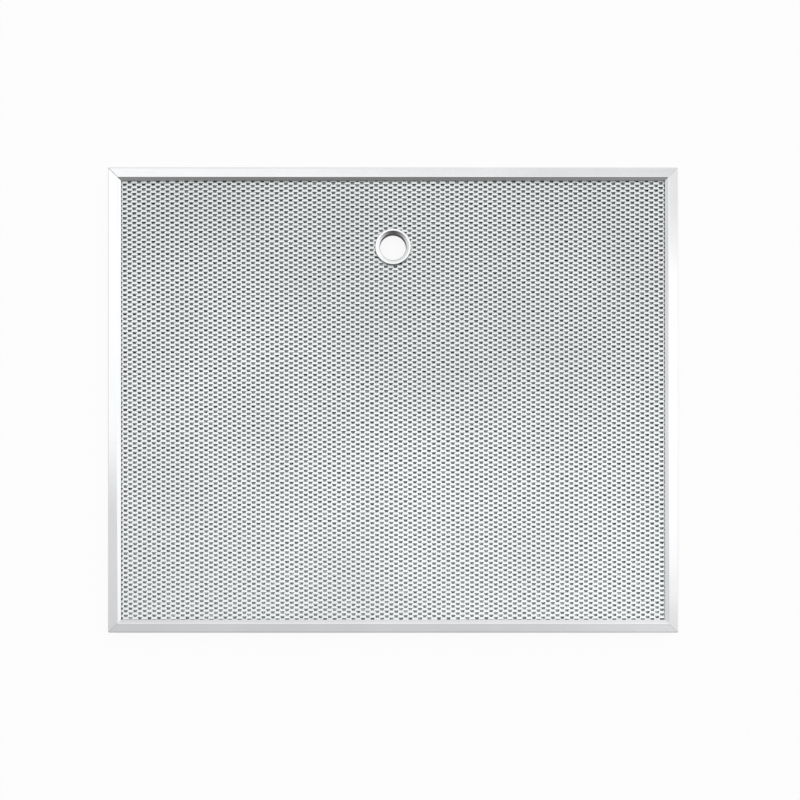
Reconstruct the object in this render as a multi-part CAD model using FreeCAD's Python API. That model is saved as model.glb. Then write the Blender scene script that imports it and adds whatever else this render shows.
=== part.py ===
# Cooker hood grease filter: a folded aluminium channel frame holds a pack of expanded mesh sheets,
# and an eyelet clinched through the pack makes the finger hole. Sizes are in millimetres.
# It lies on its rear rim with the cooking side up: +X is right, +Y is towards the finger hole.
import FreeCAD, Part
import math
import os

# Frame: one strip folded to a channel, turned at three corners and joined at the fourth
FRAME_WIDTH = 380.0
FRAME_HEIGHT = 310.0
FRAME_DEPTH = 9.0
STRIP = 0.6              # sheet thickness of the strip
RIM_FLAT = 6.5           # flat face of the rim, from the wall to the knee
LIP_ANGLE = 45.0         # turn of the lip from the flat face down to the mesh, in degrees
RIM_BEND = 0.8           # outer radius where the wall folds into the rim
KNEE_BEND = 0.8          # outer radius where the rim folds into the lip
CORNER_BEND = 1.2        # outer radius of the wall at each corner
SEAM = 0.15              # hairline between the notched rims at each corner

# Corner joint: a tab of the top rail lies inside the left wall and is clinched to it
TAB_LENGTH = 14.0
TAB_HEIGHT = 5.0
TAB_FIT = 0.05           # clearance between the tab and the wall it lies against
CLINCH_WIDTH = 3.2       # square pressed lock that holds the tab to the wall
CLINCH_RISE = 0.35       # height of the lock inside, and depth of its dimple outside

# Cover sheets, front and rear: expanded mesh with tilted strands along X
MESH_PITCH = 3.19        # short way of the mesh, from one strand to the next
MESH_STRAND = 1.6        # width of a strand along its tilt
MESH_SHEET = 0.4         # thickness of a strand
MESH_TILT = 23.0         # tilt of a strand out of the sheet's plane, in degrees

# Filter layers between the cover sheets: coarser slit foil, laid crosswise by turns
FOIL_LAYERS = 3
FOIL_PITCH = 19.0
FOIL_STRAND = 12.0
FOIL_SHEET = 0.2
FOIL_TILT = 2.4

# All sheets
HEM = 4.0                # crimped end of a sheet, hidden in the channel
HEM_MARGIN = 0.02        # the hem stands this much above and below the strands
SHEET_CLEAR = 0.9        # clearance between a sheet's edge and the clinched lock
STACK_FIT = 0.03         # clearance between pieces that lie on each other

# Finger hole: a drawn eyelet with a bell mouth in front, flared over a washer at the rear
EYELET_EDGE = 52.5       # from the frame's top edge to the centre of the hole
EYELET_BORE = 17.7       # diameter of the finger hole
EYELET_FLANGE = 24.0     # outer diameter of the rolled flange
EYELET_WALL = 0.45       # wall of the barrel and of the flare
EYELET_RISE = 1.25       # height of the rolled flange above the mesh
MOUTH_BEND = 2.0         # radius of the bell mouth
MOUTH_STEPS = 3          # conical steps that the bell mouth is drawn in
FLANGE_BEND = 0.9        # radius of the flange's outer edge
FLANGE_STEPS = 2
FLARE_BEND = 0.6         # radius of the bore's rear edge
FLARE_STEPS = 1
FLARE_DIAMETER = 22.4    # rear end, flared over the washer
BARREL_CLEAR = 0.25      # between the barrel and the holes in the sheets and the washer
WASHER_DIAMETER = 26.0
WASHER_SHEET = 0.5

# Worked out from the sizes above
V = FreeCAD.Vector
X_AXIS = V(1, 0, 0)
Z_AXIS = V(0, 0, 1)


def strand_rise(width, sheet, tilt):
    """Height of a tilted strand."""
    angle = math.radians(tilt)
    return width * math.sin(angle) + sheet * math.cos(angle)


MESH_RISE = strand_rise(MESH_STRAND, MESH_SHEET, MESH_TILT) + 2 * HEM_MARGIN
FOIL_RISE = strand_rise(FOIL_STRAND, FOIL_SHEET, FOIL_TILT) + 2 * HEM_MARGIN
PACK_RISE = 2 * MESH_RISE + FOIL_LAYERS * (FOIL_RISE + STACK_FIT) + STACK_FIT
PACK_BOTTOM = (FRAME_DEPTH - PACK_RISE) / 2
PACK_TOP = PACK_BOTTOM + PACK_RISE

# The lip turns down until its edge seats on the pack
LIP_SLOPE = math.radians(LIP_ANGLE)
LIP_DROP = FRAME_DEPTH - PACK_TOP - STACK_FIT - STRIP * math.cos(LIP_SLOPE)
LIP_RUN = LIP_DROP / math.tan(LIP_SLOPE)
RIM_WIDTH = RIM_FLAT + LIP_RUN

SHEET_INSET = 2 * STRIP + TAB_FIT + CLINCH_RISE + SHEET_CLEAR
SHEET_WIDTH = FRAME_WIDTH - 2 * SHEET_INSET
SHEET_HEIGHT = FRAME_HEIGHT - 2 * SHEET_INSET

EYELET_Y = FRAME_HEIGHT / 2 - EYELET_EDGE
BORE_RADIUS = EYELET_BORE / 2
BARREL_HOLE = BORE_RADIUS + EYELET_WALL + BARREL_CLEAR
FLANGE_SEAT = PACK_TOP + STACK_FIT
WASHER_TOP = PACK_BOTTOM - STACK_FIT
FLARE_BOTTOM = WASHER_TOP - WASHER_SHEET - STACK_FIT - EYELET_WALL


def bends(points, radii):
    """Arc of the given radius at each point between the first and the last."""
    arcs = []
    for before, corner, after, radius in zip(points, points[1:], points[2:], radii):
        back = (before - corner).normalize()
        onward = (after - corner).normalize()
        half_angle = back.getAngle(onward) / 2
        inward = (back + onward).normalize()
        first = corner + back * (radius / math.tan(half_angle))
        last = corner + onward * (radius / math.tan(half_angle))
        middle = corner + inward * (radius / math.sin(half_angle) - radius)
        arcs.append(Part.Arc(first, middle, last))
    return arcs


def folded_line(points, radii):
    """Open wire through the points with round bends."""
    edges = []
    start = points[0]
    for arc in bends(points, radii):
        edges.append(Part.makeLine(start, arc.StartPoint))
        edges.append(arc.toShape())
        start = arc.EndPoint
    edges.append(Part.makeLine(start, points[-1]))
    return Part.Wire(edges)


def stepped_line(points, radii, steps):
    """Points of a line whose bends are each drawn in a few straight steps."""
    line = [points[0]]
    for arc, count in zip(bends(points, radii), steps):
        line += arc.toShape().discretize(count + 1)
    return line + [points[-1]]


def flat_prism(points, height):
    """Solid that stands on z = 0 over a polygon given by (x, y) corners."""
    corners = [V(x, y, 0) for x, y in points]
    return Part.Face(Part.makePolygon(corners + corners[:1])).extrude(Z_AXIS * height)


def mitred_rail(length, reach):
    """Channel rail along X with 45 degree ends; its wall's outer face lies at y = -reach."""
    outline = [
        (RIM_WIDTH, FRAME_DEPTH - LIP_DROP),
        (RIM_FLAT, FRAME_DEPTH),
        (0, FRAME_DEPTH),
        (0, 0),
        (RIM_FLAT, 0),
        (RIM_WIDTH, LIP_DROP),
    ]
    points = [V(-length / 2, inward - reach, z) for inward, z in outline]
    radii = [KNEE_BEND, RIM_BEND, RIM_BEND, KNEE_BEND]
    section = folded_line(points, radii).makeOffset2D(-STRIP, 0, True, True, False)
    channel = section.extrude(X_AXIS * length)
    half = length / 2
    depth = RIM_WIDTH + STRIP
    mitre = [(-half, -reach), (half, -reach), (half - depth, depth - reach), (depth - half, depth - reach)]
    return channel.common(flat_prism(mitre, FRAME_DEPTH))


def turned(shape, degrees):
    """Copy of a shape turned about the Z axis."""
    copy = shape.copy()
    copy.rotate(V(), Z_AXIS, degrees)
    return copy


def rounded_block():
    """Solid of the frame's outside, with the wall's bend at each corner."""
    block = Part.makeBox(FRAME_WIDTH, FRAME_HEIGHT, FRAME_DEPTH, V(-FRAME_WIDTH / 2, -FRAME_HEIGHT / 2, 0))
    upright = [edge for edge in block.Edges if edge.BoundBox.ZLength > FRAME_DEPTH / 2]
    return block.makeFillet(CORNER_BEND, upright)


def corner_seam(side_x, side_y, start):
    """Thin cut along the mitre of one corner, from the given inset inwards."""
    length = (RIM_WIDTH + STRIP - start) * math.sqrt(2)
    cut = Part.makeBox(length, SEAM, FRAME_DEPTH, V(0, -SEAM / 2, 0))
    cut.rotate(V(), Z_AXIS, math.degrees(math.atan2(-side_y, -side_x)))
    cut.translate(V(side_x * (FRAME_WIDTH / 2 - start), side_y * (FRAME_HEIGHT / 2 - start), 0))
    return cut


def square_peg(x, y, width, length):
    """Square block along X from the given place, at half the frame's depth."""
    return Part.makeBox(length, width, width, V(x, y - width / 2, (FRAME_DEPTH - width) / 2))


def corner_tab():
    """Tab that runs on from the top wall inside the left wall with its lock, and the lock's dimple."""
    middle = FRAME_DEPTH / 2
    wall_x = -FRAME_WIDTH / 2
    root_y = FRAME_HEIGHT / 2 - STRIP / 2
    end_y = FRAME_HEIGHT / 2 - STRIP - TAB_LENGTH
    corner = V(wall_x + STRIP + TAB_FIT, end_y, middle - TAB_HEIGHT / 2)
    tab = Part.makeBox(STRIP, root_y - end_y, TAB_HEIGHT, corner)
    lock_y = end_y + TAB_LENGTH / 2
    lock = square_peg(wall_x, lock_y, CLINCH_WIDTH, 2 * STRIP + TAB_FIT + CLINCH_RISE)
    dimple = square_peg(wall_x, lock_y, CLINCH_WIDTH - 2 * CLINCH_RISE, CLINCH_RISE)
    return tab.fuse(lock), dimple


def frame_channel():
    """The folded frame: four mitred rails, hairline seams and the clinched joint at the top left."""
    wide = mitred_rail(FRAME_WIDTH, FRAME_HEIGHT / 2)
    tall = mitred_rail(FRAME_HEIGHT, FRAME_WIDTH / 2)
    frame = wide.fuse([turned(wide, 180), turned(tall, 90), turned(tall, -90)]).removeSplitter()
    frame = frame.common(rounded_block())
    folded = [corner_seam(side_x, side_y, RIM_BEND) for side_x, side_y in ((1, 1), (1, -1), (-1, -1))]
    joint = corner_seam(-1, 1, -STRIP)
    tab, dimple = corner_tab()
    return frame.cut(folded + [joint]).fuse(tab).cut(dimple)


def strand_sheet(length, breadth, pitch, width, sheet, tilt):
    """Sheet of tilted strands along X, joined by a hem at each end, with its bottom at z = 0."""
    angle = math.radians(tilt)
    rise = strand_rise(width, sheet, tilt)
    along = V(0, math.cos(angle), math.sin(angle)) * width
    across = V(0, -math.sin(angle), math.cos(angle)) * sheet
    reach = along.y - across.y
    count = int((breadth - reach) / pitch) + 1
    inner = length - 2 * HEM
    first_y = -(count - 1) * pitch / 2 - reach / 2 - across.y
    strands = []
    for row in range(count):
        corner = V(-inner / 2, first_y + row * pitch, HEM_MARGIN)
        corners = [corner, corner + along, corner + along + across, corner + across]
        strands.append(Part.Face(Part.makePolygon(corners + [corner])).extrude(X_AXIS * inner))
    hem = Part.makeBox(HEM, breadth, rise + 2 * HEM_MARGIN, V(-length / 2, -breadth / 2, 0))
    other_hem = hem.copy()
    other_hem.translate(X_AXIS * (length - HEM))
    return hem.fuse(strands + [other_hem])


def with_finger_hole(sheet):
    """Sheet with the clearance hole for the eyelet's barrel."""
    return sheet.cut(Part.makeCylinder(BARREL_HOLE, FRAME_DEPTH, V(0, EYELET_Y, 0)))


def cover_sheet(bottom, turn):
    """Front or rear mesh, turned in its plane so that its strands rise to one side or the other."""
    sheet = strand_sheet(SHEET_WIDTH, SHEET_HEIGHT, MESH_PITCH, MESH_STRAND, MESH_SHEET, MESH_TILT)
    sheet = turned(sheet, turn)
    sheet.translate(Z_AXIS * bottom)
    return with_finger_hole(sheet)


def filter_layer(bottom, crosswise):
    """One foil layer, with its strands along X or, crosswise, along Y."""
    length, breadth = (SHEET_HEIGHT, SHEET_WIDTH) if crosswise else (SHEET_WIDTH, SHEET_HEIGHT)
    sheet = strand_sheet(length, breadth, FOIL_PITCH, FOIL_STRAND, FOIL_SHEET, FOIL_TILT)
    sheet = turned(sheet, 90 if crosswise else 0)
    sheet.translate(Z_AXIS * bottom)
    return with_finger_hole(sheet)


def eyelet():
    """Eyelet revolved about the finger hole's axis: flared rear, barrel, bell mouth and round flange."""
    crest = FLANGE_SEAT + EYELET_RISE
    flange = EYELET_FLANGE / 2
    flare = FLARE_DIAMETER / 2
    face = [(flare, FLARE_BOTTOM), (BORE_RADIUS, FLARE_BOTTOM), (BORE_RADIUS, crest), (flange, crest),
            (flange, FLANGE_SEAT)]
    barrel = BORE_RADIUS + EYELET_WALL
    flare_top = FLARE_BOTTOM + EYELET_WALL
    back = [(barrel, FLANGE_SEAT), (barrel, flare_top), (flare, flare_top), (flare, FLARE_BOTTOM)]
    face_points, back_points = ([V(radius, EYELET_Y, z) for radius, z in line] for line in (face, back))
    radii = (FLARE_BEND, MOUTH_BEND, FLANGE_BEND)
    outline = stepped_line(face_points, radii, (FLARE_STEPS, MOUTH_STEPS, FLANGE_STEPS)) + back_points
    return Part.Face(Part.makePolygon(outline)).revolve(V(0, EYELET_Y, 0), Z_AXIS, 360)


def eyelet_washer():
    """Flat washer between the rear mesh and the eyelet's flare."""
    base = V(0, EYELET_Y, WASHER_TOP - WASHER_SHEET)
    disc = Part.makeCylinder(WASHER_DIAMETER / 2, WASHER_SHEET, base)
    return disc.cut(Part.makeCylinder(BARREL_HOLE, WASHER_SHEET, base))


def build():
    """Every node by name, from the rear mesh up."""
    nodes = {"rear_mesh": cover_sheet(PACK_BOTTOM, 0)}
    bottom = PACK_BOTTOM + MESH_RISE + STACK_FIT
    for layer in range(1, FOIL_LAYERS + 1):
        nodes[f"filter_layer_{layer}"] = filter_layer(bottom, crosswise=layer % 2 == 1)
        bottom += FOIL_RISE + STACK_FIT
    nodes["front_mesh"] = cover_sheet(bottom, 180)
    nodes["frame_channel"] = frame_channel()
    nodes["eyelet"] = eyelet()
    nodes["eyelet_washer"] = eyelet_washer()
    return nodes


os.makedirs("parts", exist_ok=True)
for name, shape in build().items():
    shape.exportStep(f"parts/{name}.step")
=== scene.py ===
import math

import bmesh
import bpy
from mathutils import Matrix, Vector


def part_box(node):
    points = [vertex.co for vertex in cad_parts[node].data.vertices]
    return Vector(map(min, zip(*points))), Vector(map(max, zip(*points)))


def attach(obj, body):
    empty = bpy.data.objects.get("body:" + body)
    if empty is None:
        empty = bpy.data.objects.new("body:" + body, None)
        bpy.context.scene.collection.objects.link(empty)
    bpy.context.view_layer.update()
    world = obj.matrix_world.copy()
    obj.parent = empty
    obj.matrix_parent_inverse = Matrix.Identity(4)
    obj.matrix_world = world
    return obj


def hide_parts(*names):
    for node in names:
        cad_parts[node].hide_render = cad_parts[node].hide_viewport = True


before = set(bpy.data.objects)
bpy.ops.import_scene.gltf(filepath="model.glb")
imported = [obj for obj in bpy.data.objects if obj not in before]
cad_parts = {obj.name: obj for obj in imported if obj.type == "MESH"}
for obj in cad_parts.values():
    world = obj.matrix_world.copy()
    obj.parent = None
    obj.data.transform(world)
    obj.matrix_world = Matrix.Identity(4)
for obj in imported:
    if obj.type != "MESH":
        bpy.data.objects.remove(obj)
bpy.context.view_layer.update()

bl_info = {
    "name": "Grease Filter",
    "version": (1, 0, 0),
    "blender": (4, 5, 0),
    "location": "3D View > Sidebar > Grease Filter",
    "description": "Models a cooker hood grease filter in rolled aluminium over its solids",
    "category": "Object",
}

RAIL_LOW, RAIL_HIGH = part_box("frame_channel")
FRONT_LOW, FRONT_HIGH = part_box("front_mesh")
REAR_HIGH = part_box("rear_mesh")[1]
RING_LOW, RING_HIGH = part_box("eyelet")
RING_CENTRE = (RING_LOW + RING_HIGH) / 2

# Nearness, in metres, at which two places on a mesh count as the same
HAIR = 1e-6
# Looser nearness, for the copies of a cell that are welded and for folds on one level
NEAR = 1e-5
# Folds flatter than this are shaded smooth
SMOOTH_ANGLE = math.radians(32)
# Degrees that one facet of a fold turns, and the fewest facets of a fold
FACET, FEWEST_FACETS = 11, 3
# Distance from a fold to the close line that keeps the flat beside it flat
CLOSE_LINE = 0.00015
# Facets round the finger ring
RING_FACETS = 120
# Share of a corner's rounding by which the edge of a folded corner moves in
CORNER_PULL = 0.29
# How far from a mitre the wall is rounded, in widths of the pinched line
MITRE_REACH = 1.1
# Share of the strip's thickness that counts as its outside
OUTSIDE = 0.4
# Largest upward part of a face's normal at which the face counts as upright
UPRIGHT = 0.2
# Share of the joint's gap that closes behind the front rim
JOINT_SHUT = 0.95
# Upward parts of a direction between which the low sky and the flag's two edges fade in
LOW_SKY, FLAG_FOOT, FLAG_HEAD = (0.62, 0.36), (0.4, 0.5), (0.78, 0.66)
# Turn in degrees and shift in metres of the foil layers, from the rear one to the front one
LAYER_LAY = ((180, 0.0011, 0.0006), (180, -0.0017, 0.0013), (0, 0.0023, -0.0009))


def length(name, description, millimetres):
    """A length property, given in millimetres and kept in metres."""
    return bpy.props.FloatProperty(
        name=name, description=description, default=millimetres / 1000, unit="LENGTH", precision=5)


def angle(name, description, degrees):
    """An angle property, given in degrees and kept in radians."""
    return bpy.props.FloatProperty(
        name=name, description=description, default=math.radians(degrees), unit="ROTATION")


def amount(name, description, default):
    """A plain number, such as a share, a slope or a level of light."""
    return bpy.props.FloatProperty(name=name, description=description, default=default, precision=4)


def count(name, description, default):
    """A number of copies."""
    return bpy.props.IntProperty(name=name, description=description, default=default, min=1)


def colour(name, description, default):
    """A colour property."""
    return bpy.props.FloatVectorProperty(
        name=name, description=description, default=default, subtype="COLOR", size=3, min=0, max=1)


class RailSizes(bpy.types.PropertyGroup):
    """Folded channel frame."""
    strip: length("Strip", "Thickness of the rolled strip", 0.6)
    rim: length("Rim", "Flat width of the front and rear rims, outside corner to knee", 6.5)
    lip: length("Lip", "How far the lip runs in and down from the knee to the pack", 1.839)
    fold: length("Fold", "Outside radius of the folds along a rail", 0.8)
    corner: length("Corner", "How far each folded corner is rounded off along the rails", 1.2)
    pinch: length("Pinch", "Half the width of the pinched line at a folded corner", 0.12)
    crease: length("Crease", "Depth of the pinched line at a folded corner", 0.2)
    joint: length("Joint", "Half the hairline gap where the strip's two ends meet", 0.2)


class GrilleSizes(bpy.types.PropertyGroup):
    """Expanded mesh of the front and rear faces."""
    long_pitch: length("Long pitch", "Opening to opening along a row", 6.348)
    short_pitch: length("Short pitch", "Row to row of openings that stand over each other", 3.205)
    brow: length("Brow", "Width of an opening at its straight upper edge", 3.0)
    foot: length("Foot", "Width of an opening at its lower edge", 1.9)
    opening: length("Opening", "Height of an opening", 1.45)
    relief: length("Relief", "Height of a strand's raised edge over its low edge", 0.28)
    sheet: length("Sheet", "Thickness of the sheet", 0.32)
    columns: count("Columns", "Openings along a row", 59)
    rows: count("Rows", "Rows of openings that stand over each other", 93)
    slide_right: length("Slide right", "How far the sheet lies to the right of the middle", 0.216)
    slide_up: length("Slide up", "How far the sheet lies above the middle", 0.344)
    lean: amount("Lean", "Sideways lean of the columns", -0.0026)
    climb: amount("Climb", "Rise of the rows to the right", 0.007)


class LayerSizes(bpy.types.PropertyGroup):
    """Expanded foil layers of the pack."""
    long_pitch: length("Long pitch", "Opening to opening along a row", 8.4)
    short_pitch: length("Short pitch", "Row to row of openings that stand over each other", 4.25)
    brow: length("Brow", "Width of an opening at its straight edge", 6.4)
    foot: length("Foot", "Width of an opening at its narrow edge", 4.6)
    opening: length("Opening", "Height of an opening", 0.75)
    relief: length("Relief", "Height of a strand's raised edge over its low edge", 0.58)
    sheet: length("Sheet", "Thickness of the foil", 0.14)
    columns: count("Columns", "Openings along a row", 44)
    rows: count("Rows", "Rows of openings that stand over each other", 70)


class RingSizes(bpy.types.PropertyGroup):
    """Eyelet round the finger hole."""
    wall: length("Wall", "Wall of the drawn ring", 0.45)
    mouth: length("Mouth", "How far the mouth opens out from the bore", 2.1)
    slope: angle("Slope", "Slope of the mouth's cone", 35)
    brim: length("Brim", "Radius of the bend from the flange into the cone", 0.8)
    throat: length("Throat", "Radius of the bend from the cone into the bore", 0.4)
    edge: length("Edge", "Radius of the flange's outer edge", 0.5)
    flare: length("Flare", "Radius of the bend into the rear flare", 0.6)
    bore: length("Bore", "Radius of the finger hole", 8.85)
    rear: length("Rear", "Radius of the flare over the washer", 11.2)
    room: length("Room", "Radius of the round that the sheets leave for the barrel", 10.6)


class FinishSettings(bpy.types.PropertyGroup):
    """Colours of the aluminium."""
    rail: colour("Rail", "Rolled strip of the frame", (0.86, 0.865, 0.875))
    grille: colour("Grille", "Expanded mesh", (0.89, 0.92, 0.92))
    # Inner layers' aluminium painted dark: painted shade for the little light that reaches inside
    # the pack
    foil: colour("Foil", "Inner layers", (0.54, 0.55, 0.56))
    ring: colour("Ring", "Drawn eyelet and its washer", (0.88, 0.885, 0.89))


class SkySettings(bpy.types.PropertyGroup):
    """Soft light from all round, where far is the finger hole's side and near the other."""
    plain: amount("Plain", "Light from all round", 0.74)
    right: amount("Right", "What the right adds and the left takes off", 0.16)
    sides: amount("Sides", "What both sides add", 0.27)
    corner: amount("Corner", "What the far right adds and the far left takes off", 0.2)
    far: amount("Far", "What the far side adds", 0.6)
    far_most: amount("Far most", "The most that the far side adds", 0.27)
    far_low: amount("Far low", "What the far side takes off low down", 0.12)
    near: amount("Near", "What the near side takes off", 0.54)
    flag: amount("Flag", "What a dark flag half way up the near side takes off", 0.4)
    least: amount("Least", "Light that comes from any direction", 0.02)


class StageSettings(bpy.types.PropertyGroup):
    """Table, softbox and camera."""
    floor: colour("Floor", "White table under the filter", (0.95, 0.95, 0.95))
    table: length("Table", "Width of the table", 6000)
    gap: length("Gap", "Table top under the rear rim", 0.2)
    white: amount("White", "How far the table shows plain white to the camera", 0.9)
    glow: amount("Glow", "How far the table shows plain white in the metal", 0.3)
    # Tone of the painted shadow on the table under the pack
    shade: amount("Shade", "Tone of the table under the pack, as the metal shows it", 0.4)
    lamp: bpy.props.FloatProperty(
        name="Lamp", description="Power of the softbox over the table", default=1.7, unit="POWER")
    lamp_side: length("Lamp side", "Softbox to the right of the middle", 30)
    lamp_far: length("Lamp far", "Softbox beyond the middle, towards the finger hole", 150)
    lamp_height: length("Lamp height", "Softbox above the table", 1000)
    lamp_turn: angle("Lamp turn", "Turn of the softbox about the upright", -14)
    lamp_long: length("Lamp long", "Long side of the softbox", 2000)
    lamp_wide: length("Lamp wide", "Short side of the softbox", 720)
    camera_height: length("Camera height", "Camera above the front rim", 480)
    camera_side: length("Camera side", "Camera to the left of the middle", 12)
    camera_low: length("Camera low", "Camera below the middle", 28)
    frame_side: length("Frame side", "Picture's middle to the right of the filter's", 4.6)
    clip: length("Clip", "Nearest distance that the camera shows", 10)
    lens: amount("Lens", "Focal length in millimetres", 32.46)
    sensor: amount("Sensor", "Width of the camera's sensor in millimetres", 36)


class Value:
    """A socket of a finish that takes part in Python expressions."""

    def __init__(self, finish, socket):
        self.finish = finish
        self.socket = socket

    def math(self, operation, *values):
        inputs = dict(enumerate((self,) + values))
        return self.finish.node("ShaderNodeMath", {"operation": operation}, inputs)

    def __add__(self, other):
        return self.math("ADD", other)

    __radd__ = __add__

    def __mul__(self, other):
        return self.math("MULTIPLY", other)

    __rmul__ = __mul__

    def __sub__(self, other):
        return self.math("SUBTRACT", other)

    def __rsub__(self, other):
        return (self * -1) + other

    def __abs__(self):
        return self.math("ABSOLUTE")

    def __lt__(self, other):
        return self.math("LESS_THAN", other)


class Finish:
    """Node tree of a material or of the world."""

    def __init__(self, owner):
        owner.use_nodes = True
        self.owner = owner
        self.tree = owner.node_tree
        self.tree.nodes.clear()

    def node(self, kind, settings, inputs, output=0):
        """Adds a node of a kind, sets it, fills its sockets and gives its output as a value."""
        node = self.tree.nodes.new(kind)
        for key, setting in settings.items():
            setattr(node, key, setting)
        for key, value in inputs.items():
            if isinstance(value, Value):
                self.tree.links.new(value.socket, node.inputs[key])
            else:
                node.inputs[key].default_value = value
        if isinstance(output, tuple):
            return [Value(self, node.outputs[key]) for key in output]
        return Value(self, node.outputs[output]) if node.outputs else None

    def place(self, kind="Object"):
        """Coordinates of the given kind as a vector and as x, y and z."""
        vector = self.node("ShaderNodeTexCoord", {}, {}, output=kind)
        return [vector] + self.node("ShaderNodeSeparateXYZ", {}, {0: vector}, output=(0, 1, 2))

    def vector(self, x, y, z):
        return self.node("ShaderNodeCombineXYZ", {}, {0: x, 1: y, 2: z})

    def noise(self, vector, detail=2.0, scale=1.0, roughness=0.6):
        return self.node("ShaderNodeTexNoise", {}, {
            "Vector": vector, "Scale": scale, "Detail": detail, "Roughness": roughness})

    def tint(self, factor, first, second):
        """Colour between two, by a factor from 0 to 1."""
        return self.node("ShaderNodeMix", {"data_type": "RGBA"}, {
            0: factor, 6: (*first, 1), 7: (*second, 1)}, output=2)

    def spread(self, value, start, end):
        """Value that goes from 0 at one level to 1 at another, and stays there beyond them."""
        return self.node("ShaderNodeMapRange", {"clamp": True}, {
            0: value, 1: start, 2: end, 3: 0.0, 4: 1.0})

    def metal(self, base, roughness, relief, depth):
        """Aluminium with a base colour, a roughness and a fine relief of the given depth."""
        normal = self.node("ShaderNodeBump", {}, {
            "Strength": 1.0, "Distance": depth, "Height": relief})
        shader = self.node("ShaderNodeBsdfPrincipled", {}, {
            "Base Color": base, "Roughness": roughness, "Metallic": 1.0, "Normal": normal})
        self.node("ShaderNodeOutputMaterial", {}, {"Surface": shader})
        return self.owner


def shade(tone, factor):
    """Darker or lighter version of a colour."""
    return tuple(min(1.0, part * factor) for part in tone)


def rail_finish(finishes):
    """Strip with fine rolling lines along each rail and faint handling marks, rougher inside the
    channel and painted dark there as painted shade, with the side rails painted lighter as a
    painted sheen.
    """
    # Repeats per metre along and across a rail, and what sets the side rails' marks apart
    lines_along, lines_across, lines_apart, line_depth = 10, 6500, 7, 0.00002
    smudges_along, smudges_across, smudges_apart, smudge_range = 18, 90, 3, (0.42, 0.75)
    clouds, cloud_range = 22.0, (0.3, 0.7)
    # Depth of the skin outside the channel, and how far in from the rim's edge the inside is
    # rougher and painted with shade
    skin, inner_reach = 0.0004, 0.006
    # Tone of a rail, with what a cloud adds and the painted sheen that lightens the side rails,
    # between the painted shade of the channel's inside and a light metal
    rail_tone, cloud_tone, side_sheen, dark, light = 0.83, 0.07, 0.1, 0.2, 1.08
    polish, smudge_rough, line_rough, inner_rough = 0.15, 0.06, 0.05, 0.4
    finish = Finish(bpy.data.materials.new("rolled_strip"))
    place, x, y, z = finish.place()
    from_side = RAIL_HIGH.x - abs(x)
    from_end = RAIL_HIGH.y - abs(y)
    side = from_side < from_end
    along = side * y + (1 - side) * x
    across = side * x + (1 - side) * y + z
    lines = finish.noise(
        finish.vector(along * lines_along, across * lines_across, side * lines_apart))
    smudge = finish.noise(
        finish.vector(along * smudges_along, across * smudges_across, side * smudges_apart),
        detail=4.0)
    smudge = finish.spread(smudge, *smudge_range)
    cloud = finish.spread(finish.noise(place, detail=3.0, scale=clouds), *cloud_range)
    middle_z, half_depth = (RAIL_LOW.z + RAIL_HIGH.z) / 2, (RAIL_HIGH.z - RAIL_LOW.z) / 2
    rim_depth = from_side.math("MINIMUM", from_end)
    within = abs(z - middle_z) < half_depth - skin
    # Painted shade: the channel's inside, where the folded strip shades itself, is painted dark as
    # well as made rougher
    inside = within * (1 - (rim_depth < skin)) * (rim_depth < inner_reach)
    # Painted sheen: the side rails are painted lighter than the top and bottom ones, for the way
    # their rolling lines catch the light
    bright = (1 - inside) * (rail_tone + cloud_tone * cloud + side_sheen * side)
    base = finish.tint(bright, shade(finishes.rail, dark), shade(finishes.rail, light))
    roughness = polish + smudge_rough * smudge + line_rough * lines + inner_rough * inside
    return finish.metal(base, roughness, lines, line_depth)


def grille_finish(finishes):
    """Expanded mesh with the dull, slightly uneven skin of slit and stretched sheet."""
    # Repeats per metre of the patches and of the grain
    patches, patch_range = 9.0, (0.35, 0.65)
    grain_along, grain_across, grain_depth = 500, 1400, 0.00004
    dark, light, plain_rough, grain_rough = 0.96, 1.04, 0.34, 0.1
    finish = Finish(bpy.data.materials.new("expanded_mesh"))
    place, x, y, z = finish.place()
    patch = finish.spread(finish.noise(place, scale=patches, roughness=0.5), *patch_range)
    grain = finish.noise(finish.vector(x * grain_along, y * grain_across, z * grain_across))
    base = finish.tint(patch, shade(finishes.grille, dark), shade(finishes.grille, light))
    roughness = plain_rough + grain_rough * grain
    return finish.metal(base, roughness, grain, grain_depth)


def foil_finish(finishes):
    """Rough foil of the inner layers, painted dark as painted shade inside the pack, and paler away
    from the finger hole as painted light.
    """
    # Repeats per metre of the grain, and where the painted light starts and ends making the foil
    # paler
    grains, grain_depth = 900.0, 0.00004
    pale_from, pale_to = 0.14, -0.13
    # Tones of the grain and of the painted light, between the foil painted darker and lighter
    grain_tone, painted_light_tone, dark, light = 0.15, 0.85, 0.6, 1.65
    plain_rough, grain_rough = 0.5, 0.12
    finish = Finish(bpy.data.materials.new("inner_foil"))
    place, _, y, _ = finish.place()
    grain = finish.noise(place, scale=grains)
    painted_light = finish.spread(y, pale_from, pale_to)
    tone = grain_tone * grain + painted_light_tone * painted_light
    base = finish.tint(tone, shade(finishes.foil, dark), shade(finishes.foil, light))
    roughness = plain_rough + grain_rough * grain
    return finish.metal(base, roughness, grain, grain_depth)


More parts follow.
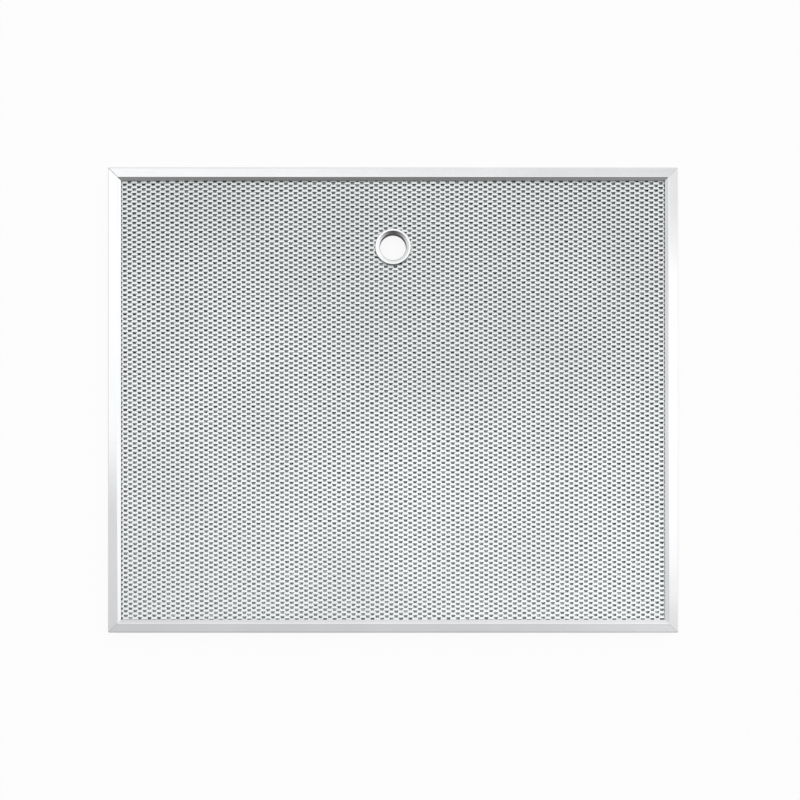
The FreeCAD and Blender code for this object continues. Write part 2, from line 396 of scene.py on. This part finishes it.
def ring_finish(finishes):
    """Drawn ring with faint lines round it, rougher and painted with shade in the bore, and a
    painted shadow under its outer edge.
    """
    # Repeats per metre of the lines and of the clouds
    turns_per_metre, turn_depth, clouds = 1500, 0.00001, 160.0
    # Radii between which the rough bore with its painted shade ends, and where the painted shadow
    # under the outer edge starts and darkens
    bore_end, cone_start = 0.0089, 0.0094
    edge_start, edge_top, edge_foot = 0.0115, 0.0001, 0.0003
    # Share of the bore's painted shade, its least and cloudy parts, and the dark metal that the
    # painted shade and shadow reach
    bore_tone, bore_least, bore_cloud, dark = 0.6, 0.75, 0.5, 0.25
    polish, turn_rough, cloud_rough, bore_rough = 0.1, 0.06, 0.05, 0.15
    finish = Finish(bpy.data.materials.new("drawn_ring"))
    place, x, y, z = finish.place()
    out_x = x - RING_CENTRE.x
    out_y = y - RING_CENTRE.y
    radius = (out_x * out_x + out_y * out_y).math("SQRT")
    turns = finish.noise(finish.vector(radius * turns_per_metre, z * turns_per_metre, 0.0))
    cloud = finish.noise(place, detail=3.0, scale=clouds)
    # Bore rougher and painted dark: painted shade for the dark inside that it reflects
    dull = 1 - finish.spread(radius, bore_end, cone_start)
    # Painted shadow under the flange's outer edge, where it stands over the mesh
    under_edge_shadow = finish.spread(z, RING_HIGH.z - edge_top, RING_HIGH.z - edge_foot)
    painted_edge_shadow = under_edge_shadow * (1 - (radius < edge_start))
    tone = bore_tone * dull * (bore_least + bore_cloud * cloud) + painted_edge_shadow
    base = finish.tint(tone, finishes.ring, shade(finishes.ring, dark))
    roughness = polish + turn_rough * turns + cloud_rough * cloud + bore_rough * dull
    return finish.metal(base, roughness, turns, turn_depth)


def begin():
    """Leaves edit mode with nothing selected."""
    if bpy.context.mode != "OBJECT":
        bpy.ops.object.mode_set(mode="OBJECT")
    bpy.ops.object.select_all(action="DESELECT")


def take_up(piece):
    """Makes a piece the only selected and the active one."""
    begin()
    piece.select_set(True)
    bpy.context.view_layer.objects.active = piece


def pick(kind, test):
    """Selects the vertices, edges or faces of the mesh in edit mode that pass a test."""
    bpy.ops.mesh.select_mode(type=kind)
    bpy.ops.mesh.select_all(action="DESELECT")
    data = bpy.context.edit_object.data
    mesh = bmesh.from_edit_mesh(data)
    for part in {"VERT": mesh.verts, "EDGE": mesh.edges, "FACE": mesh.faces}[kind]:
        if test(part):
            part.select_set(True)
    bmesh.update_edit_mesh(data, loop_triangles=False, destructive=False)


def pick_all():
    bpy.ops.mesh.select_all(action="SELECT")


def middle(part):
    """Middle of an edge or of a face."""
    return sum((vertex.co for vertex in part.verts), Vector()) / len(part.verts)


def move(x=0.0, y=0.0, z=0.0):
    bpy.ops.transform.translate(value=(x, y, z))


def extrude(x=0.0, y=0.0, z=0.0):
    bpy.ops.mesh.extrude_region_move(TRANSFORM_OT_translate={"value": (x, y, z)})


def stretch(x=1.0, y=1.0, z=1.0, centre=(0, 0, 0)):
    bpy.ops.transform.resize(value=(x, y, z), center_override=centre)


def turn(radians, axis, centre):
    """Turns what is picked about an axis, the opposite way to a rotation matrix."""
    bpy.ops.transform.rotate(value=radians, orient_axis=axis, center_override=centre)


def face_outwards():
    pick_all()
    bpy.ops.mesh.normals_make_consistent(inside=False)


def apply_modifier(piece, kind, **settings):
    """Adds a modifier with the given settings and applies it."""
    modifier = piece.modifiers.new(kind.lower(), kind)
    for key, value in settings.items():
        setattr(modifier, key, value)
    bpy.ops.object.modifier_apply(modifier=modifier.name)


def complete(piece, name, material, node):
    """Names a piece, smooths its folds, gives it its finish and sets it in place of its node."""
    take_up(piece)
    piece.name = name
    piece.data.name = name
    bpy.ops.object.shade_smooth_by_angle(angle=SMOOTH_ANGLE)
    piece.data.materials.clear()
    piece.data.materials.append(material)
    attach(piece, "root")
    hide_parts(node)


def strand_cell(sizes):
    """One bond of an expanded sheet with the half strands below and above it."""
    high = sizes.relief / 2
    bond_foot = sizes.long_pitch - sizes.foot
    bond_head = sizes.long_pitch - sizes.brow
    half = sizes.opening / 2
    rise = sizes.short_pitch / 2
    begin()
    bpy.ops.mesh.primitive_plane_add(size=1, location=(0, 0, 0), enter_editmode=True)
    pick_all()
    stretch(1, sizes.opening)
    move(y=rise)
    pick("EDGE", lambda edge: abs(middle(edge).y - (rise - half)) < HAIR)
    stretch(bond_foot)
    move(z=high)
    extrude(y=2 * half - rise, z=-2 * high)
    stretch(sizes.brow / bond_foot)
    pick("EDGE", lambda edge: abs(middle(edge).y - (rise + half)) < HAIR)
    stretch(bond_head)
    move(z=-high)
    extrude(y=rise - 2 * half, z=2 * high)
    stretch(sizes.foot / bond_head)
    pick_all()
    extrude(z=-sizes.sheet)
    return bpy.context.edit_object


def open_the_cell(sizes):
    """Takes off the faces where a cell meets the next and draws its feet to the bonds' middles."""
    half = sizes.opening / 2
    rise = sizes.short_pitch / 2

    def joined(face):
        """Upright face where this cell joins the next."""
        if abs(face.normal.z) > UPRIGHT or len(face.verts) != 4:
            return False
        spot = middle(face)
        across = [vertex.co.x for vertex in face.verts]
        straight = abs(spot.x) < HAIR
        beside = abs(spot.y - rise) < HAIR
        return max(across) - min(across) > HAIR and not straight and not beside

    pick("FACE", joined)
    bpy.ops.mesh.delete(type="ONLY_FACE")
    underside = (sizes.relief - sizes.sheet) / 2
    foot_level, top_foot = rise - half, sizes.short_pitch - half
    pick("VERT", lambda vertex: vertex.co.z < underside and abs(vertex.co.y - foot_level) < HAIR)
    bpy.ops.mesh.merge(type="CENTER")
    for side in (-1, 1):
        pick("VERT", lambda vertex: vertex.co.z < underside
             and abs(vertex.co.y - top_foot) < HAIR and vertex.co.x * side > 0)
        move(x=side * (sizes.long_pitch - sizes.foot) / 2)


def expanded_sheet(sizes):
    """Sheet of staggered openings in edit mode, centred on the origin."""
    sheet = strand_cell(sizes)
    open_the_cell(sizes)
    pick_all()
    bpy.ops.mesh.duplicate_move(
        TRANSFORM_OT_translate={"value": (sizes.long_pitch / 2, sizes.short_pitch / 2, 0)})
    take_up(sheet)
    along, up = (sizes.long_pitch, 0, 0), (0, sizes.short_pitch, 0)
    for copies, offset in ((sizes.columns, along), (sizes.rows, up)):
        apply_modifier(sheet, "ARRAY", count=copies, use_relative_offset=False,
                       use_constant_offset=True, constant_offset_displace=offset)
    bpy.ops.object.mode_set(mode="EDIT")
    pick_all()
    bpy.ops.mesh.remove_doubles(threshold=NEAR)
    pick_all()
    move(x=-(sizes.columns - 0.5) * sizes.long_pitch / 2,
         y=-(sizes.rows + 0.5) * sizes.short_pitch / 2)
    return sheet


def cut_round(sheet, radius):
    """Opens a sheet for the ring's barrel, trims the strands to a round and closes their ends."""
    def inside(vertex):
        return (vertex.co - RING_CENTRE).xy.length < radius

    pick("FACE", lambda face: all(inside(vertex) for vertex in face.verts))
    bpy.ops.mesh.delete(type="FACE")
    mesh = bmesh.from_edit_mesh(sheet.data)
    for vertex in filter(inside, mesh.verts):
        outward = (vertex.co - RING_CENTRE).xy.normalized()
        vertex.co.xy = RING_CENTRE.xy + outward * radius
    bmesh.update_edit_mesh(sheet.data)
    bpy.ops.mesh.select_mode(type="EDGE")
    bpy.ops.mesh.select_all(action="DESELECT")
    bpy.ops.mesh.select_non_manifold()
    bpy.ops.mesh.fill_holes(sides=0)
    face_outwards()


class GREASEFILTER_OT_grilles(bpy.types.Operator):
    """Front and rear faces of expanded mesh"""
    bl_idname = "grease_filter.grilles"
    bl_label = "Grilles"

    def execute(self, context):
        sizes = context.scene.grille_sizes
        material = grille_finish(context.scene.filter_finishes)
        front = expanded_sheet(sizes)
        pick_all()
        middle_z = (FRONT_LOW.z + FRONT_HIGH.z) / 2
        move(sizes.slide_right, sizes.slide_up, middle_z + sizes.sheet / 2)
        begin()
        front.data.transform(Matrix((
            (1, sizes.lean, 0, 0), (sizes.climb, 1, 0, 0), (0, 0, 1, 0), (0, 0, 0, 1))))
        take_up(front)
        bpy.ops.object.mode_set(mode="EDIT")
        cut_round(front, context.scene.ring_sizes.room)
        take_up(front)
        bpy.ops.object.duplicate()
        rear = context.active_object
        bpy.ops.object.mode_set(mode="EDIT")
        pick_all()
        turn(math.pi, "Y", (0, 0, (FRONT_LOW.z + REAR_HIGH.z) / 2))
        complete(front, "front_grille", material, "front_mesh")
        complete(rear, "rear_grille", material, "rear_mesh")
        return {"FINISHED"}


class GREASEFILTER_OT_layers(bpy.types.Operator):
    """Inner layers of expanded foil between the two faces"""
    bl_idname = "grease_filter.layers"
    bl_label = "Inner layers"

    def execute(self, context):
        sizes = context.scene.layer_sizes
        material = foil_finish(context.scene.filter_finishes)
        for number, (degrees, right, up) in enumerate(LAYER_LAY, 1):
            node = f"filter_layer_{number}"
            low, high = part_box(node)
            layer = expanded_sheet(sizes)
            pick_all()
            turn(math.radians(degrees), "Z", (0, 0, 0))
            move(right, up, (low.z + high.z) / 2 + sizes.sheet / 2)
            cut_round(layer, context.scene.ring_sizes.room)
            complete(layer, f"inner_layer_{number}", material, node)
        return {"FINISHED"}


class FoldedStrip:
    """Section of a folded strip in an upright plane, made by carrying its cut edge along."""

    def __init__(self, spot, heading, thickness):
        self.spot = Vector(spot)
        self.heading = math.radians(heading)
        begin()
        bpy.ops.mesh.primitive_plane_add(size=thickness, location=(0, 0, 0), enter_editmode=True)
        pick("VERT", lambda vertex: vertex.co.y > 0)
        bpy.ops.mesh.delete(type="VERT")
        self.mesh = bpy.context.edit_object
        bpy.ops.mesh.select_mode(type="EDGE")
        pick_all()
        move(*self.spot + Vector((-thickness / 2, thickness / 2, 0)))
        turn(self.heading - math.pi / 2, "Y", self.spot)

    def run(self, distance):
        """Straight stretch, with a close line next to each fold that keeps it flat between them."""
        onward = Vector((math.cos(self.heading), 0, math.sin(self.heading)))
        close = min(CLOSE_LINE, distance / 4)
        for step in (close, distance - 2 * close, close):
            extrude(*onward * step)
        self.spot += onward * distance

    def bend(self, radius, degrees):
        """Fold to the left, with the given radius on the outside."""
        inward = Vector((-math.sin(self.heading), 0, math.cos(self.heading)))
        centre = self.spot + inward * radius
        bpy.ops.mesh.spin(steps=max(FEWEST_FACETS, round(degrees / FACET)),
                          angle=math.radians(degrees), center=centre, axis=(0, 1, 0))
        self.heading += math.radians(degrees)
        outward = Vector((math.sin(self.heading), 0, -math.cos(self.heading)))
        self.spot = centre + outward * radius


class GREASEFILTER_OT_rails(bpy.types.Operator):
    """Channel frame folded from one strip, with its ends meeting at the top left"""
    bl_idname = "grease_filter.rails"
    bl_label = "Rails"

    def execute(self, context):
        sizes = context.scene.rail_sizes
        wide, tall, depth = RAIL_HIGH.x, RAIL_HIGH.y, RAIL_HIGH.z - RAIL_LOW.z
        fold, lip, lip_turn = sizes.fold, sizes.lip, 45
        corner = Vector((-wide, tall, RAIL_LOW.z))
        knee = fold * math.tan(math.radians(lip_turn / 2))
        lip_edge = corner + Vector((sizes.rim + lip, 0, depth - lip))
        section = FoldedStrip(lip_edge, 180 - lip_turn, sizes.strip)
        section.run(lip * math.sqrt(2) - knee)
        section.bend(fold, lip_turn)
        section.run(sizes.rim - knee - fold)
        section.bend(fold, 90)
        section.run(depth - 2 * fold)
        section.bend(fold, 90)
        section.run(sizes.rim - knee - fold)
        section.bend(fold, lip_turn)
        section.run(lip * math.sqrt(2) - knee)
        self.round_the_corners(sizes, corner)
        self.pinch_the_folds(sizes, wide, tall)
        self.close_the_ends(sizes, wide, tall)
        face_outwards()
        material = rail_finish(context.scene.filter_finishes)
        complete(section.mesh, "channel_frame", material, "frame_channel")
        return {"FINISHED"}

    def round_the_corners(self, sizes, corner):
        """Sets the section in the mitre plane at the joint and runs it along the four rails."""
        near, close = sizes.corner, sizes.pinch
        bpy.ops.mesh.select_mode(type="FACE")
        pick_all()
        turn(math.radians(45), "Z", corner)
        stretch(math.sqrt(2), math.sqrt(2), 1, corner)
        move(x=sizes.joint)
        extrude()
        stretch(x=-1)
        move(x=sizes.joint - near)
        for onward, turned in (((1, 0), (0, -1)), ((0, -1), (-1, 0)), ((-1, 0), (0, 1))):
            for step in (near - close, close):
                extrude(onward[0] * step, onward[1] * step)
            for step in (close, near - close):
                extrude(turned[0] * step, turned[1] * step)
            extrude()
            stretch(-1 if turned[0] else 1, -1 if turned[1] else 1)
        move(y=near - sizes.joint)

    def pinch_the_folds(self, sizes, wide, tall):
        """Rounds the wall at the three folded corners and pinches a fine line along each mitre."""
        reach, outside = sizes.pinch * MITRE_REACH, sizes.strip * OUTSIDE
        pull = sizes.corner * CORNER_PULL

        def off_mitre(vertex):
            return abs((wide - abs(vertex.co.x)) - (tall - abs(vertex.co.y)))

        for side_x, side_y in ((1, 1), (1, -1), (-1, -1)):
            pick("VERT", lambda vertex: off_mitre(vertex) < reach
                 and min(wide - abs(vertex.co.x), tall - abs(vertex.co.y)) < outside
                 and vertex.co.x * side_x > 0 and vertex.co.y * side_y > 0)
            move(-side_x * pull, -side_y * pull)
        for level, depth in ((RAIL_HIGH.z, -sizes.crease), (RAIL_LOW.z, sizes.crease)):
            pick("VERT", lambda vertex: off_mitre(vertex) < HAIR
                 and abs(vertex.co.z - level) < NEAR)
            move(z=depth)

    def close_the_ends(self, sizes, wide, tall):
        """Brings the strip's ends together behind the front rim, where a hairline stays open."""
        rim_foot = RAIL_HIGH.z - sizes.fold
        shut = sizes.joint * JOINT_SHUT
        for end, step in ((sizes.joint, (-shut, 0)), (-sizes.joint, (0, shut))):
            pick("VERT", lambda vertex: vertex.co.z < rim_foot and vertex.co.x < 0 < vertex.co.y
                 and abs((wide + vertex.co.x) - (tall - vertex.co.y) - end) < HAIR)
            move(*step)


class GREASEFILTER_OT_ring(bpy.types.Operator):
    """Eyelet round the finger hole, drawn through the pack and flared over a washer behind it"""
    bl_idname = "grease_filter.ring"
    bl_label = "Finger ring"

    def execute(self, context):
        sizes = context.scene.ring_sizes
        flange = (RING_HIGH.x - RING_LOW.x) / 2
        foot = (RING_CENTRE.x + flange, RING_CENTRE.y, FRONT_HIGH.z)
        slope = math.degrees(sizes.slope)
        down, across = math.sin(sizes.slope), math.cos(sizes.slope)
        cone = (sizes.mouth - sizes.brim * down - sizes.throat * (1 - down)) / across
        section = FoldedStrip(foot, 90, sizes.wall)
        section.run(RING_HIGH.z - sizes.edge - FRONT_HIGH.z)
        section.bend(sizes.edge, 90)
        section.run(flange - sizes.edge - sizes.bore - sizes.mouth)
        section.bend(sizes.brim, slope)
        section.run(cone)
        section.bend(sizes.throat, 90 - slope)
        section.run(section.spot.z - sizes.flare - RING_LOW.z)
        section.bend(sizes.flare, 90)
        section.run(sizes.rear - sizes.bore - sizes.flare)
        pick("EDGE", lambda edge: len(edge.link_faces) == 2)
        bpy.ops.mesh.delete(type="EDGE")
        pick_all()
        bpy.ops.mesh.spin(
            steps=RING_FACETS, angle=2 * math.pi, center=RING_CENTRE, axis=(0, 0, 1))
        pick_all()
        bpy.ops.mesh.remove_doubles(threshold=HAIR)
        face_outwards()
        material = ring_finish(context.scene.filter_finishes)
        complete(section.mesh, "finger_ring", material, "eyelet")
        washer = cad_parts["eyelet_washer"]
        washer.data.materials.clear()
        washer.data.materials.append(material)
        return {"FINISHED"}


class GREASEFILTER_OT_stage(bpy.types.Operator):
    """White table, soft studio light and the camera over the filter"""
    bl_idname = "grease_filter.stage"
    bl_label = "Stage"

    def execute(self, context):
        stage = context.scene.stage_settings
        begin()
        self.lay_the_table(stage)
        self.light_the_room(context.scene)
        self.hang_the_softbox(stage)
        self.set_the_camera(context.scene, stage)
        context.scene.view_settings.view_transform = "Standard"
        return {"FINISHED"}

    def lay_the_table(self, stage):
        """White table that keeps a faint shadow, with a painted shadow under the pack that only the
        metal shows.
        """
        bpy.ops.mesh.primitive_plane_add(size=stage.table, location=(0, 0, RAIL_LOW.z - stage.gap))
        table = bpy.context.active_object
        table.name = "table"
        finish = Finish(bpy.data.materials.new("white_table"))
        camera_ray, glossy_ray, through_ray = finish.node(
            "ShaderNodeLightPath", {}, {},
            output=("Is Camera Ray", "Is Glossy Ray", "Is Transmission Ray"))
        _, x, y, _ = finish.place()
        under = (abs(x) < RAIL_HIGH.x) * (abs(y) < RAIL_HIGH.y)
        shown = stage.white * (camera_ray + through_ray) + stage.glow * glossy_ray * (1 - under)
        # Painted shadow: under the pack the table is darkened for glossy rays, so the metal
        # reflects shade there
        tone = finish.tint(glossy_ray * under, stage.floor, shade(stage.floor, stage.shade))
        plain = finish.node("ShaderNodeBsdfDiffuse", {}, {"Color": tone})
        bright = finish.node("ShaderNodeEmission", {}, {"Color": (1, 1, 1, 1), "Strength": 1.0})
        mixed = finish.node("ShaderNodeMixShader", {}, {0: shown, 1: plain, 2: bright})
        finish.node("ShaderNodeOutputMaterial", {}, {"Surface": mixed})
        table.data.materials.append(finish.owner)

    def light_the_room(self, scene):
        """Soft light from all round, paler on the far side, with a dark flag on the near one."""
        sky = scene.sky_settings
        world = Finish(bpy.data.worlds.new("studio"))
        scene.world = world.owner
        _, x, y, z = world.place("Generated")
        near = (y * -1).math("MAXIMUM", 0.0)
        far = y.math("MAXIMUM", 0.0)
        low = world.spread(z, *LOW_SKY)
        flag = world.spread(z, *FLAG_FOOT) * world.spread(z, *FLAG_HEAD)
        sides = (sky.right * x + sky.sides * x * x) * x * x + sky.corner * x * far
        front = (sky.far * far * far).math("MINIMUM", sky.far_most)
        light = (sky.plain + sides + front - sky.near * near * near
                 - sky.flag * near * flag - sky.far_low * far * low)
        light = light.math("MAXIMUM", sky.least)
        camera_ray = world.node("ShaderNodeLightPath", {}, {}, output="Is Camera Ray")
        background = world.node("ShaderNodeBackground", {}, {
            "Color": (1, 1, 1, 1), "Strength": light * (1 - camera_ray) + camera_ray})
        world.node("ShaderNodeOutputWorld", {}, {"Surface": background})

    def hang_the_softbox(self, stage):
        bpy.ops.object.light_add(
            type="AREA", location=(stage.lamp_side, stage.lamp_far, stage.lamp_height),
            rotation=(0, 0, stage.lamp_turn))
        lamp = bpy.context.active_object
        lamp.name = "overhead_softbox"
        lamp.data.shape = "RECTANGLE"
        lamp.data.size = stage.lamp_long
        lamp.data.size_y = stage.lamp_wide
        lamp.data.energy = stage.lamp

    def set_the_camera(self, scene, stage):
        """Camera that looks straight down, with the shift that sets the filter in the picture."""
        bpy.ops.object.camera_add(
            location=(-stage.camera_side, -stage.camera_low, RAIL_HIGH.z + stage.camera_height),
            rotation=(0, 0, 0))
        camera = bpy.context.active_object
        camera.name = "camera"
        camera.data.lens = stage.lens
        camera.data.sensor_width = stage.sensor
        camera.data.clip_start = stage.clip
        frame_width = stage.camera_height * stage.sensor / stage.lens
        camera.data.shift_x = (stage.frame_side + stage.camera_side) / frame_width
        camera.data.shift_y = stage.camera_low / frame_width
        scene.camera = camera


class GREASEFILTER_PT_parts(bpy.types.Panel):
    """Parts of the grease filter in the order they are made"""
    bl_idname = "GREASEFILTER_PT_parts"
    bl_label = "Grease Filter"
    bl_space_type = "VIEW_3D"
    bl_region_type = "UI"
    bl_category = "Grease Filter"

    def draw(self, context):
        for operator in OPERATORS:
            self.layout.operator(operator.bl_idname)
        for name, group in GROUPS.items():
            box = self.layout.box()
            box.label(text=name.replace("_", " ").capitalize())
            for key in group.__annotations__:
                box.prop(getattr(context.scene, name), key)


GROUPS = {
    "rail_sizes": RailSizes,
    "grille_sizes": GrilleSizes,
    "layer_sizes": LayerSizes,
    "ring_sizes": RingSizes,
    "filter_finishes": FinishSettings,
    "sky_settings": SkySettings,
    "stage_settings": StageSettings,
}
OPERATORS = (
    GREASEFILTER_OT_grilles,
    GREASEFILTER_OT_layers,
    GREASEFILTER_OT_rails,
    GREASEFILTER_OT_ring,
    GREASEFILTER_OT_stage,
)


def register():
    for group in GROUPS.values():
        bpy.utils.register_class(group)
    for operator in OPERATORS:
        bpy.utils.register_class(operator)
    bpy.utils.register_class(GREASEFILTER_PT_parts)
    for name, group in GROUPS.items():
        setattr(bpy.types.Scene, name, bpy.props.PointerProperty(type=group))


def unregister():
    for name in GROUPS:
        delattr(bpy.types.Scene, name)
    bpy.utils.unregister_class(GREASEFILTER_PT_parts)
    for group in (*reversed(OPERATORS), *reversed(GROUPS.values())):
        bpy.utils.unregister_class(group)


def main():
    register()
    for operator in OPERATORS:
        family, name = operator.bl_idname.split(".")
        getattr(getattr(bpy.ops, family), name)()


if __name__ == "__main__":
    main()
